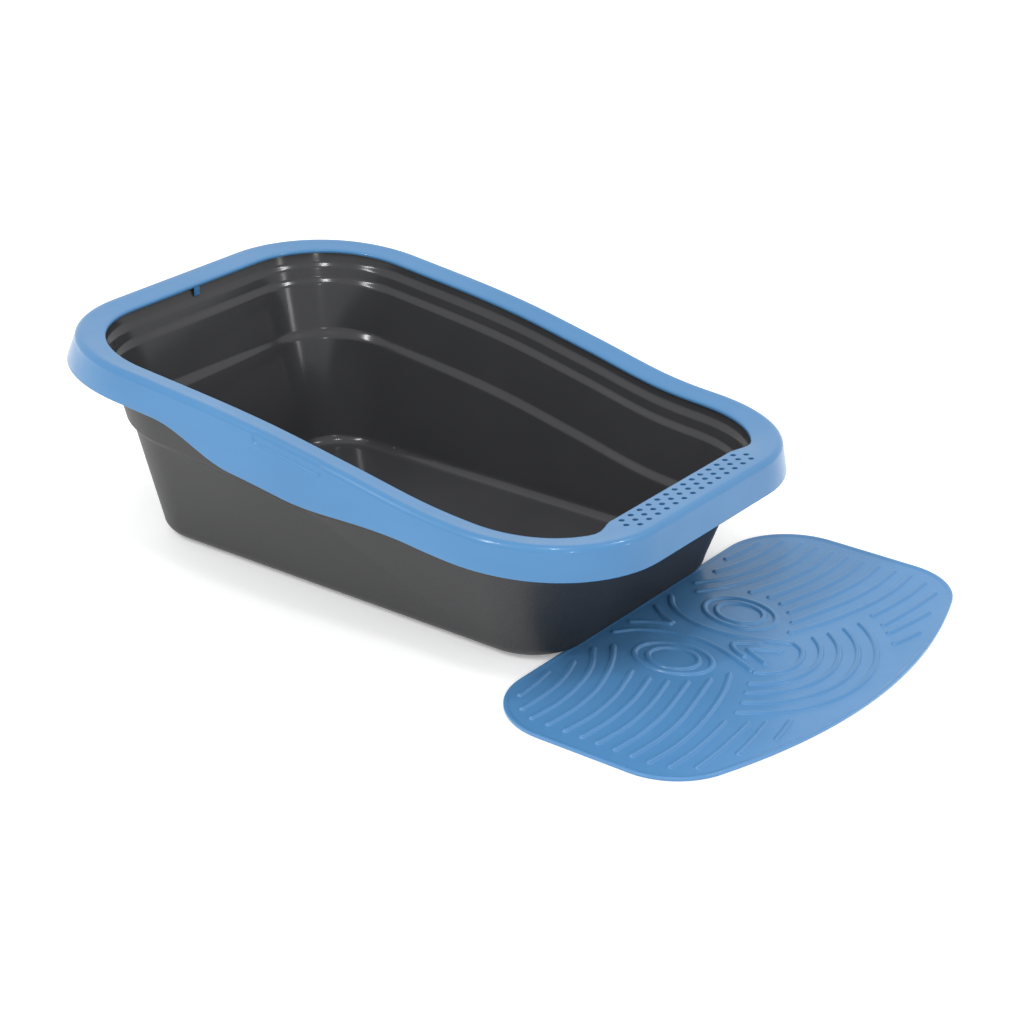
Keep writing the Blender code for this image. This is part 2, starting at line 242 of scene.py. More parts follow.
def rim_height(y):
    """Height of the rim's inner edge: low at the entrance, high at the back."""
    front = -BASE_LENGTH / 2 - ENTRANCE_HEIGHT * FRONT_LEAN
    back = BASE_LENGTH / 2 + BACK_HEIGHT * REAR_LEAN
    share = curve_through(RIM_SWEEP, np.clip((y - front) / (back - front), 0.0, 1.0))
    return ENTRANCE_HEIGHT + (BACK_HEIGHT - ENTRANCE_HEIGHT) * share


class Stations:
    """The stations round the tray that the wall and the rim are lofted through."""

    def __init__(self):
        self.base, self.normal = outline()
        self.across = self.normal[:, 0] ** 2
        along = self.normal[:, 1] ** 2
        front = self.normal[:, 1] < 0
        self.lean = SIDE_LEAN * self.across + np.where(front, FRONT_LEAN, REAR_LEAN) * along
        end_flange = np.where(front, FLANGE_FRONT_WIDTH, FLANGE_REAR_WIDTH)
        self.flange = FLANGE_SIDE_WIDTH * self.across + end_flange * along
        end_skirt = np.where(front, SKIRT_FRONT_LEAN, SKIRT_REAR_LEAN)
        self.skirt_lean = SKIRT_SIDE_LEAN * self.across + end_skirt * along
        y = self.base[:, 1]
        for _ in range(SETTLING_ROUNDS):
            self.height = rim_height(y)
            self.edge_reach = self.height * self.lean + RIM_INNER_OFFSET
            y = self.base[:, 1] + self.normal[:, 1] * self.edge_reach
        x = self.base[:, 0] + self.normal[:, 0] * self.edge_reach
        strip = STRIP_REACH * ramp((STRIP_HALF_WIDTH + STRIP_BLEND - abs(x)) / STRIP_BLEND)
        self.strip = np.where(y < 0.0, strip, 0.0)
        wing = ramp((y - WING_FRONT) / WING_FRONT_FLANK) * ramp((WING_REAR - y) / WING_REAR_FLANK)
        self.skirt = SKIRT_DEPTH + WING_DEPTH * wing * self.across
        self.step = ramp((y - OUTER_STEP_FRONT) / (OUTER_STEP_BACK - OUTER_STEP_FRONT))
        self.y = y

    def on_wall(self, offset, drop, cut):
        """Section corner on the leaning wall, at a drop below the rim's inner edge."""
        z = self.height - drop
        return z * self.lean + offset, z, cut

    def on_rim(self, offset, drop, cut):
        """Section corner at an offset outward from the rim's inner edge, and a drop below it."""
        return self.edge_reach + offset, self.height - drop, cut

    def ring(self, section_point):
        """Closed ring round the tray for one (reach, height) pair per station."""
        flat = self.base + self.normal * section_point[:, :1]
        return np.column_stack([flat, section_point[:, 1]])

    def rounded(self, corners, steps=ROUND_STEPS):
        """The section through (reach, height, cut) corners, each corner rounded over its cut."""
        count = len(self.base)
        points = []
        for reach, height, _ in corners:
            columns = (np.broadcast_to(reach, count), np.broadcast_to(height, count))
            points.append(np.column_stack(columns))
        section = []
        for index, (_, _, cut) in enumerate(corners):
            here = points[index]
            inner_corner = 0 < index < len(corners) - 1
            if cut == 0.0 or not inner_corner:
                section.append(here)
                continue
            back = points[index - 1] - here
            ahead = points[index + 1] - here
            back_length = np.linalg.norm(back, axis=1, keepdims=True)
            ahead_length = np.linalg.norm(ahead, axis=1, keepdims=True)
            start = here + back / back_length * np.minimum(cut, MOST_CUT_SHARE * back_length)
            end = here + ahead / ahead_length * np.minimum(cut, MOST_CUT_SHARE * ahead_length)
            for t in np.linspace(0.0, 1.0, steps + 1):
                section.append((1 - t) ** 2 * start + 2 * t * (1 - t) * here + t * t * end)
        return section


def loft(rings, ends, bands=None):
    """bmesh through closed rings of equal count; ends is 'caps', 'joined' or 'open'.

    bands gives the material index of the faces above each ring.
    """
    shape = bmesh.new()
    loops = [[shape.verts.new(point) for point in ring] for ring in rings]
    pairs = list(zip(loops, loops[1:]))
    if ends == "joined":
        pairs.append((loops[-1], loops[0]))
    for index, (lower, upper) in enumerate(pairs):
        count = len(lower)
        for i in range(count):
            j = (i + 1) % count
            face = shape.faces.new((lower[i], lower[j], upper[j], upper[i]))
            face.material_index = bands[index] if bands else 0
    if ends == "caps":
        first = shape.faces.new(loops[0])
        last = shape.faces.new(loops[-1])
        first.material_index = bands[0] if bands else 0
        last.material_index = bands[-1] if bands else 0
    if ends != "open":
        bmesh.ops.recalc_face_normals(shape, faces=shape.faces)
    return shape


def piece(name, shape, body, node, materials, place=(0.0, TRAY_Y, 0.0)):
    """A finished visual piece from a bmesh, in place of its CAD node."""
    mesh = bpy.data.meshes.new(name)
    shape.to_mesh(mesh)
    shape.free()
    mesh.transform(Matrix.Translation(place))
    for finish in materials:
        mesh.materials.append(finish)
    mesh.shade_smooth()
    mesh.set_sharp_from_angle(angle=SHARP_ANGLE)
    obj = bpy.data.objects.new(name, mesh)
    bpy.context.scene.collection.objects.link(obj)
    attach(obj, body)
    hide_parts(node)
    return obj


def added(shape, other):
    """Adds another bmesh's faces to a bmesh."""
    mesh = bpy.data.meshes.new("part")
    other.to_mesh(mesh)
    other.free()
    shape.from_mesh(mesh)
    bpy.data.meshes.remove(mesh)


# ---------------------------------------------------------------- materials
class Finish:
    """A Principled material whose colour, roughness and relief come from procedural nodes."""

    def __init__(self, name, roughness, specular=0.5, coat=0.0, coat_roughness=0.1):
        self.material = bpy.data.materials.new(name)
        self.material.use_nodes = True
        self.tree = self.material.node_tree
        self.surface = self.tree.nodes["Principled BSDF"]
        self.surface.inputs["Roughness"].default_value = roughness
        self.surface.inputs["Specular IOR Level"].default_value = specular
        self.surface.inputs["Coat Weight"].default_value = coat
        self.surface.inputs["Coat Roughness"].default_value = coat_roughness
        self.place = self.tree.nodes.new("ShaderNodeTexCoord").outputs["Object"]
        self.height = None

    def noise(self, scale, detail=2.0, stretch=(1.0, 1.0, 1.0)):
        """Noise value at a number of features per metre."""
        mapping = self.tree.nodes.new("ShaderNodeMapping")
        mapping.inputs["Scale"].default_value = stretch
        self.tree.links.new(self.place, mapping.inputs["Vector"])
        node = self.tree.nodes.new("ShaderNodeTexNoise")
        node.inputs["Scale"].default_value = scale
        node.inputs["Detail"].default_value = detail
        self.tree.links.new(mapping.outputs["Vector"], node.inputs["Vector"])
        return node.outputs["Fac"]

    def ramped(self, value, stops):
        """Colour ramp over (position, colour) stops."""
        node = self.tree.nodes.new("ShaderNodeValToRGB")
        elements = node.color_ramp.elements
        while len(elements) < len(stops):
            elements.new(0.5)
        for element, (position, colour) in zip(elements, stops):
            element.position = position
            element.color = (*colour, 1.0)
        self.tree.links.new(value, node.inputs["Fac"])
        return node.outputs["Color"]

    def mixed(self, share, first, second):
        """Colour mix of two sockets by a share socket."""
        node = self.tree.nodes.new("ShaderNodeMix")
        node.data_type = "RGBA"
        self.tree.links.new(share, node.inputs["Factor"])
        self.tree.links.new(first, node.inputs["A"])
        self.tree.links.new(second, node.inputs["B"])
        return node.outputs["Result"]

    def spread(self, value, low, high):
        """Value from the middle of a noise's range, mapped onto low to high."""
        node = self.tree.nodes.new("ShaderNodeMapRange")
        node.inputs["From Min"].default_value = 0.3
        node.inputs["From Max"].default_value = 0.7
        node.inputs["To Min"].default_value = low
        node.inputs["To Max"].default_value = high
        self.tree.links.new(value, node.inputs["Value"])
        return node.outputs["Result"]

    def colour(self, socket):
        self.tree.links.new(socket, self.surface.inputs["Base Color"])

    def roughness(self, socket):
        self.tree.links.new(socket, self.surface.inputs["Roughness"])

    def relief(self, value, depth, strength=1.0):
        """Adds a bump of this depth, in metres, on top of any before it."""
        node = self.tree.nodes.new("ShaderNodeBump")
        node.inputs["Distance"].default_value = depth
        node.inputs["Strength"].default_value = strength
        self.tree.links.new(value, node.inputs["Height"])
        if self.height:
            self.tree.links.new(self.height, node.inputs["Normal"])
        self.height = node.outputs["Normal"]
        self.tree.links.new(self.height, self.surface.inputs["Normal"])


def tray_inside_finish():
    """Charcoal polypropylene from a polished core: glossy, faintly wavy, lightly scuffed."""
    finish = Finish("charcoal_gloss", roughness=0.16, specular=0.36)
    cloud = finish.noise(scale=9.0)
    finish.colour(finish.ramped(cloud, ((0.3, (0.036, 0.0363, 0.039)), (0.7, (0.042, 0.0423, 0.0453)))))
    finish.roughness(finish.spread(finish.noise(scale=18.0, detail=5.0), 0.13, 0.18))
    finish.relief(finish.noise(scale=10.0), depth=0.0004, strength=0.12)
    return finish.material


def tray_outside_finish():
    """Charcoal polypropylene from a spark-eroded mould: fine grain, satin, a few pale rubs."""
    finish = Finish("charcoal_grain", roughness=0.5)
    grain = finish.noise(scale=800.0, detail=2.0)
    cloud = finish.noise(scale=7.0)
    speckle = finish.ramped(grain, ((0.35, (0.012, 0.0123, 0.0132)), (0.65, (0.04, 0.0405, 0.042))))
    tone = finish.ramped(cloud, ((0.3, (0.021, 0.0213, 0.0225)), (0.7, (0.027, 0.0275, 0.0287))))
    finish.colour(finish.mixed(cloud, speckle, tone))
    finish.roughness(finish.spread(grain, 0.42, 0.56))
    finish.relief(grain, depth=0.00008, strength=0.55)
    return finish.material


def rim_finish():
    """Blue polypropylene, satin gloss, with faint flow marks."""
    finish = Finish("blue_satin", roughness=0.33, specular=0.3, coat=0.35, coat_roughness=0.08)
    flow = finish.noise(scale=11.0, detail=3.0, stretch=(1.0, 1.0, 2.5))
    finish.colour(finish.ramped(flow, ((0.3, (0.052, 0.185, 0.38)), (0.7, (0.059, 0.2, 0.405)))))
    finish.roughness(finish.spread(finish.noise(scale=45.0, detail=4.0), 0.29, 0.38))
    finish.relief(finish.noise(scale=1100.0, detail=1.0), depth=0.00003, strength=0.3)
    return finish.material


def mat_finish():
    """Blue soft plastic: satin, a little mottled, with a fine grain."""
    finish = Finish("blue_soft_plastic", roughness=0.34, specular=0.35, coat=0.2, coat_roughness=0.14)
    cloud = finish.noise(scale=8.0, detail=3.0)
    finish.colour(finish.ramped(cloud, ((0.3, (0.067, 0.212, 0.43)), (0.7, (0.077, 0.23, 0.46)))))
    finish.roughness(finish.spread(finish.noise(scale=60.0, detail=4.0), 0.29, 0.4))
    finish.relief(finish.noise(scale=900.0, detail=1.0), depth=0.00004, strength=0.35)
    return finish.material


def floor_finish():
    finish = Finish("pale_floor", roughness=0.6)
    finish.surface.inputs["Emission Color"].default_value = (1.0, 1.0, 1.0, 1.0)
    finish.surface.inputs["Emission Strength"].default_value = FLOOR_GLOW
    shade = finish.noise(scale=1.5)
    finish.colour(finish.ramped(shade, ((0.3, (0.96, 0.96, 0.96)), (0.7, (0.97, 0.97, 0.97)))))
    return finish.material


# ---------------------------------------------------------------- tray
def bottom_corners(stations, thickness):
    """Section corners of the rounded edge between wall and floor, from the floor side."""
    lean_angle = np.arctan(stations.lean)
    radius = BOTTOM_EDGE_RADIUS - thickness
    centre_z = FOOT_HEIGHT + BOTTOM_EDGE_RADIUS
    centre = centre_z * stations.lean - BOTTOM_EDGE_RADIUS / np.cos(lean_angle)
    corners = []
    for turn in np.radians(np.linspace(90.0, 6.0, 9)):
        corners.append((centre + radius * np.cos(turn), centre_z - radius * np.sin(turn), 0.0))
    return corners


def seat_drop(stations, offset):
    """Drop of the tray's lip where the rim rests on it, which rises outward as the rim does."""
    slope = FLANGE_RISE / (stations.flange - SHOULDER_RADIUS - RIM_WALL)
    return RIM_WALL + SEAT_GAP - slope * (offset - RIM_WALL)


def tray_throat():
    """Offset of the tray's inner face under the lip, which clears the rim's tab."""
    tab_back = RIM_INNER_OFFSET + TAB_INSET + TAB_THICKNESS
    tab_foot_drop = RIM_LIP_DEPTH + TAB_DROP
    return tab_back + tab_foot_drop * REAR_LEAN + TAB_GAP


def tray_shape(stations):
    """The tray's wall and bottom as one loft, with its ledge, two beads and lip, and its feet."""
    throat = tray_throat()
    neck = throat + TRAY_WALL
    lip_end = stations.flange + RIM_INNER_OFFSET - SHOULDER_RADIUS
    step_spread = LEDGE_HEIGHT / 2 + FADED_STEP_HEIGHT / 2 * (1 - stations.step)
    outer_out = LEDGE_OUT + (OUTER_STEP - LEDGE_OUT) * stations.step
    outer = [
        stations.on_wall(0.0, LEDGE_DROP + step_spread, LEDGE_ROUND_OUTSIDE),
        stations.on_wall(outer_out, LEDGE_DROP - step_spread, LEDGE_ROUND_OUTSIDE),
        stations.on_wall(outer_out, BEAD_DROP + BEAD_HEIGHT, BEAD_ROUND),
        stations.on_wall(LEDGE_OUT + BEAD_OUT, BEAD_DROP, BEAD_ROUND),
        stations.on_wall(LEDGE_OUT + BEAD_OUT, UPPER_BEAD_DROP + BEAD_HEIGHT, BEAD_ROUND),
        stations.on_wall(neck, UPPER_BEAD_DROP, BEAD_ROUND),
        stations.on_wall(neck, seat_drop(stations, neck) + TRAY_WALL, BEAD_ROUND),
        stations.on_wall(lip_end, seat_drop(stations, lip_end) + TRAY_WALL, TINY_ROUND),
    ]
    inner = [
        stations.on_wall(lip_end, seat_drop(stations, lip_end), TINY_ROUND),
        stations.on_wall(throat, seat_drop(stations, throat), BEAD_ROUND),
        stations.on_wall(throat, UPPER_BEAD_DROP, BEAD_ROUND),
        stations.on_wall(LEDGE_OUT + BEAD_OUT - TRAY_WALL, UPPER_BEAD_DROP + BEAD_HEIGHT, BEAD_ROUND),
        stations.on_wall(LEDGE_OUT + BEAD_OUT - TRAY_WALL, BEAD_DROP, BEAD_ROUND),
        stations.on_wall(LEDGE_OUT - TRAY_WALL, BEAD_DROP + BEAD_HEIGHT, BEAD_ROUND),
        stations.on_wall(LEDGE_OUT - TRAY_WALL, LEDGE_DROP - LEDGE_HEIGHT / 2, LEDGE_ROUND_INSIDE),
        stations.on_wall(-TRAY_WALL, LEDGE_DROP + LEDGE_HEIGHT / 2, LEDGE_ROUND_INSIDE),
    ]
    corners = bottom_corners(stations, 0.0) + outer + inner
    corners += reversed(bottom_corners(stations, TRAY_WALL))
    section = stations.rounded(corners)
    outside_count = len(stations.rounded(bottom_corners(stations, 0.0) + outer))
    bands = [1 if index < outside_count else 0 for index in range(len(section) - 1)]
    shape = loft([stations.ring(point) for point in section], "caps", bands)
    for side in (1, -1):
        for end in (1, -1):
            added(shape, foot_shape(side, end))
    return shape


def foot_shape(side, end):
    """One corner pad under the tray."""
    radius = BASE_CORNER_RADIUS - FOOT_INSET
    far_x = BASE_HALF_WIDTH - FOOT_INSET
    far_y = BASE_LENGTH / 2 - FOOT_INSET
    near_x = BASE_HALF_WIDTH - FOOT_REACH
    near_y = BASE_LENGTH / 2 - FOOT_REACH
    path = [(near_x, near_y), (far_x, near_y)]
    for turn in np.linspace(0.0, math.pi / 2, 12):
        path.append((far_x - radius * (1 - math.cos(turn)), far_y - radius * (1 - math.sin(turn))))
    path.append((near_x, far_y))
    centre = np.array([(near_x + far_x) / 2, (near_y + far_y) / 2])
    rings = []
    for inset, z in ((FOOT_TAPER, 0.0), (0.0, TINY_ROUND), (0.0, FOOT_HEIGHT + TRAY_WALL / 2)):
        ring = []
        for point in path:
            away = np.array(point) - centre
            x, y = centre + away * (1 - inset)
            ring.append((x * side, y * end, z))
        rings.append(ring)
    shape = loft(rings, "caps")
    for face in shape.faces:
        face.material_index = 1
    return shape


# ---------------------------------------------------------------- rim
def recess_depth(stations, fall):
    """How deep the grip recess is, by the distance along the section from the shoulder's start."""
    beyond = np.maximum(abs(stations.y - RECESS_CENTRE) - RECESS_HALF_LENGTH + RECESS_HALF_HEIGHT, 0.0)
    distance = np.hypot(beyond, fall - RECESS_DROP) - RECESS_HALF_HEIGHT
    depth = RECESS_DEPTH * ramp(0.5 - distance / RECESS_FLANK / 2)
    return depth * (stations.across > 0.999)


def with_recess(stations, section):
    """The section with the grip recess pressed into the stretch that it covers."""
    section = np.array(section)
    steps = np.linalg.norm(np.diff(section, axis=0), axis=2)
    fall = np.concatenate([np.zeros((1, steps.shape[1])), np.cumsum(steps, axis=0)])
    tangent = np.gradient(section, axis=0)
    tangent /= np.linalg.norm(tangent, axis=2, keepdims=True)
    outward = np.stack([-tangent[:, :, 1], tangent[:, :, 0]], axis=2)
    return list(section - outward * recess_depth(stations, fall)[:, :, None])


def rim_shape(stations):
    """The rim's closed section round the tray: lip, flange, shoulder, skirt; and its tab."""
    flange = stations.flange
    skirt = stations.skirt
    inner = -stations.strip
    shoulder = SHOULDER_RADIUS - FLANGE_RISE
    reach = (skirt - shoulder) * stations.skirt_lean
    lip = [
        stations.on_rim(inner + RIM_WALL, RIM_LIP_DEPTH, 0.0),
        stations.on_rim(inner, RIM_LIP_DEPTH, TINY_ROUND),
        stations.on_rim(inner, 0.0, LIP_ROUND),
        stations.on_rim(inner + (flange - inner) / 2, -FLANGE_CROWN_SHARE * FLANGE_RISE, FLANGE_CROWN_ROUND),
        stations.on_rim(flange - SHOULDER_RADIUS, -FLANGE_RISE, 0.0),
    ]
    start_reach, start_height, _ = stations.on_rim(flange - SHOULDER_RADIUS, -FLANGE_RISE, 0.0)
    shoulder_section = []
    for turn in np.radians(np.linspace(0.0, 90.0, SHOULDER_STEPS + 1))[1:]:
        out = SHOULDER_RADIUS * np.sin(turn)
        down = SHOULDER_RADIUS * (1 - np.cos(turn))
        shoulder_section.append(np.column_stack([start_reach + out, start_height - down]))
    for drop in np.arange(shoulder + FINE_STEP, RECESS_GRID_END, FINE_STEP):
        out = flange + (drop - shoulder) * stations.skirt_lean
        corner_reach, corner_height, _ = stations.on_rim(out, drop, 0.0)
        shoulder_section.append(np.column_stack([corner_reach, corner_height]))
    grid_end_out = flange + (RECESS_GRID_END - shoulder) * stations.skirt_lean
    tail = [
        stations.on_rim(grid_end_out, RECESS_GRID_END, 0.0),
        stations.on_rim(flange + reach, skirt, TINY_ROUND),
        stations.on_rim(flange + reach - RIM_WALL, skirt, TINY_ROUND),
        stations.on_rim(flange - RIM_WALL, shoulder, RIM_INNER_ROUND),
        stations.on_rim(flange - SHOULDER_RADIUS, RIM_WALL - FLANGE_RISE, RIM_INNER_ROUND),
        stations.on_rim(inner + RIM_WALL, RIM_WALL, 0.0),
    ]
    section = stations.rounded(lip)
    section += with_recess(stations, shoulder_section)
    section += stations.rounded(tail)
    shape = loft([stations.ring(point) for point in section], "joined")
    added(shape, tab_shape(stations))
    return shape


def tab_shape(stations):
    """Small rounded locating tab under the lip, in the middle of the back."""
    back = (stations.base + stations.normal * stations.edge_reach[:, None])[:, 1].max()
    bottom = BACK_HEIGHT - RIM_LIP_DEPTH - TAB_DROP
    top = BACK_HEIGHT - RIM_LIP_DEPTH + RIM_WALL / 2
    shape = bmesh.new()
    made = bmesh.ops.create_cube(shape, size=1.0)
    bmesh.ops.scale(shape, verts=made["verts"], vec=(TAB_WIDTH, TAB_THICKNESS, top - bottom))
    centre = (0.0, back + TAB_INSET + TAB_THICKNESS / 2, (top + bottom) / 2)
    bmesh.ops.translate(shape, verts=made["verts"], vec=centre)
    bmesh.ops.bevel(shape, geom=shape.edges[:], offset=TAB_ROUND, segments=3, profile=0.5, affect="EDGES")
    return shape


def perforations(stations):
    """Cutter of staggered round holes, each a little wider at the top surface."""
    entrance = (stations.base + stations.normal * stations.edge_reach[:, None])[:, 1].min()
    radius = HOLE_DIAMETER / 2
    shape = bmesh.new()
    for row, count in enumerate(HOLE_ROWS):
        y = entrance + STRIP_REACH - FIRST_ROW_INSET - row * HOLE_ROW_GAP
        inward = entrance + STRIP_REACH - y
        share = inward / (FLANGE_FRONT_WIDTH + STRIP_REACH - SHOULDER_RADIUS)
        top = ENTRANCE_HEIGHT + FLANGE_RISE * min(1.0, 1.15 * share)
        for place in range(count):
            x = (place - (count - 1) / 2) * HOLE_PITCH
            rings = []
            for ring_radius, z in (
                (radius, top - 3 * RIM_WALL),
                (radius, top - HOLE_CHAMFER),
                (radius + 4 * HOLE_CHAMFER, top + 3 * HOLE_CHAMFER),
            ):
                ring = []
                for turn in np.arange(HOLE_SIDES) / HOLE_SIDES * 2 * math.pi:
                    ring.append((x + ring_radius * math.cos(turn), y + ring_radius * math.sin(turn), z))
                rings.append(ring)
            added(shape, loft(rings, "caps"))
    return shape


def perforated(rim, cutter_shape):
    """Cuts the holes through the finished rim."""
    mesh = bpy.data.meshes.new("perforations")
    cutter_shape.to_mesh(mesh)
    cutter_shape.free()
    mesh.transform(Matrix.Translation((0.0, TRAY_Y, 0.0)))
    cutter = bpy.data.objects.new("perforations", mesh)
    bpy.context.scene.collection.objects.link(cutter)
    modifier = rim.modifiers.new("perforations", "BOOLEAN")
    modifier.object = cutter
    modifier.operation = "DIFFERENCE"
    modifier.solver = "EXACT"
    bpy.context.view_layer.update()
    graph = bpy.context.evaluated_depsgraph_get()
    cut = bpy.data.meshes.new_from_object(rim.evaluated_get(graph))
    rim.modifiers.clear()
    rim.data = cut
    rim.data.set_sharp_from_angle(angle=SHARP_ANGLE)
    bpy.data.objects.remove(cutter)


# ---------------------------------------------------------------- mat
def mat_outline():
    """Points and outward normals: straight back, round corners, bowed front."""
    points = []
    normals = []

    def arc(centre, radius, start, turn):
        for angle in start + np.linspace(0.0, turn, 3 * CORNER_STEPS // 2):
            normal = np.array([math.cos(angle), math.sin(angle)])
            points.append(np.array(centre) + radius * normal)
            normals.append(normal)

    bow_end = MAT_HALF_WIDTH - MAT_FRONT_RADIUS
    for _ in range(SETTLING_ROUNDS):
        lean = math.atan(2 * MAT_BOW * bow_end / MAT_HALF_WIDTH**2)
        bow_end = MAT_HALF_WIDTH - MAT_FRONT_RADIUS * (1 - math.sin(lean))
    front_x = MAT_HALF_WIDTH - MAT_FRONT_RADIUS
    front_y = MAT_BOW * (bow_end / MAT_HALF_WIDTH) ** 2 - MAT_LENGTH + MAT_FRONT_RADIUS * math.cos(lean)
    rear_x = MAT_HALF_WIDTH - MAT_REAR_RADIUS
    for x in evenly(-bow_end, bow_end, COARSE_STEP)[1:]:
        points.append(np.array([x, MAT_BOW * (x / MAT_HALF_WIDTH) ** 2 - MAT_LENGTH]))
        normal = np.array([2 * MAT_BOW * x / MAT_HALF_WIDTH**2, -1.0])
        normals.append(normal / np.linalg.norm(normal))
    arc((front_x, front_y), MAT_FRONT_RADIUS, lean - math.pi / 2, math.pi / 2 - lean)
    arc((rear_x, -MAT_REAR_RADIUS), MAT_REAR_RADIUS, 0.0, math.pi / 2)
    arc((-rear_x, -MAT_REAR_RADIUS), MAT_REAR_RADIUS, math.pi / 2, math.pi / 2)
    arc((-front_x, front_y), MAT_FRONT_RADIUS, math.pi, math.pi / 2 - lean)
    return np.array(points), np.array(normals)


def smooth_path(knots, closed=False, spacing=RIB_SPACING):
    """Points along a smooth curve through the knots (Catmull-Rom)."""
    knots = [np.array(knot, float) for knot in knots]
    if closed:
        padded = [knots[-1], *knots, knots[0], knots[1]]
    else:
        padded = [2 * knots[0] - knots[1], *knots, 2 * knots[-1] - knots[-2]]
    path = []
    for a, b, c, d in zip(padded, padded[1:], padded[2:], padded[3:]):
        count = max(2, math.ceil(np.linalg.norm(c - b) / spacing))
        for t in np.arange(count) / count:
            square = (2 * a - 5 * b + 4 * c - d) * t**2
            cube = (3 * b - a - 3 * c + d) * t**3
            path.append(0.5 * (2 * b + (c - a) * t + square + cube))
    if not closed:
        path.append(knots[-1])
    return np.array(path)


def rib_rows(half_width, height):
    """(distance from the rib's centre line, height above the mat) rows, from its foot to its top."""
    rows = [(half_width, MAT_THICKNESS / 2)]
    for share in (0.98, 0.86, 0.74, 0.62, 0.5, RIB_PLATEAU, 0.02):
        rise = height * float(ramp((1.0 - share) / (1.0 - RIB_PLATEAU)))
        rows.append((half_width * share, MAT_THICKNESS + rise))
    return rows


def rib_shape(path, closed, half_width=RIB_HALF_WIDTH, height=RIB_HEIGHT):
    """Raised rib with rounded ends along a path on the mat."""
    if closed:
        ahead = np.roll(path, -1, axis=0) - np.roll(path, 1, axis=0)
    else:
        ahead = np.gradient(path, axis=0)
    ahead /= np.linalg.norm(ahead, axis=1, keepdims=True)
    left = np.column_stack([-ahead[:, 1], ahead[:, 0]])
    rows = rib_rows(half_width, height)
    if closed:
        rings = []
        for distance, z in rows + rows[-2::-1]:
            sign = 1 if len(rings) < len(rows) else -1
            flat = path + sign * distance * left
            rings.append(np.column_stack([flat, np.full(len(flat), z)]))
        return loft(rings, "open")
    rings = []
    for distance, z in rows:
        ring = list(path + distance * left)
        for turn in np.linspace(0.0, math.pi, 9)[1:-1]:
            ring.append(path[-1] + distance * (math.cos(turn) * left[-1] + math.sin(turn) * ahead[-1]))
        ring += list((path - distance * left)[::-1])
        for turn in np.linspace(0.0, math.pi, 9)[1:-1]:
            ring.append(path[0] - distance * (math.cos(turn) * left[0] + math.sin(turn) * ahead[0]))
        ring = np.array(ring)
        rings.append(np.column_stack([ring, np.full(len(ring), z)]))
    return loft(rings, "open")


def ellipse(centre, half_length, half_width, tilt):
    """Closed path of an ellipse."""
    turn = np.linspace(0.0, 2 * math.pi, 72, endpoint=False)
    flat = np.column_stack([half_length * np.cos(turn), half_width * np.sin(turn)])
    cos, sin = math.cos(tilt), math.sin(tilt)
    return flat @ np.array([[cos, sin], [-sin, cos]]) + centre


def arc_through(half_chord, end_y, low_y):
    """Round arc below a chord that is level and centred on the mat."""
    sagitta = end_y - low_y
    radius = (half_chord**2 + sagitta**2) / (2 * sagitta)
    reach = math.atan2(half_chord, radius - sagitta)
    turn = np.linspace(-reach, reach, 64)
    return np.column_stack([radius * np.sin(turn), low_y + radius - radius * np.cos(turn)])


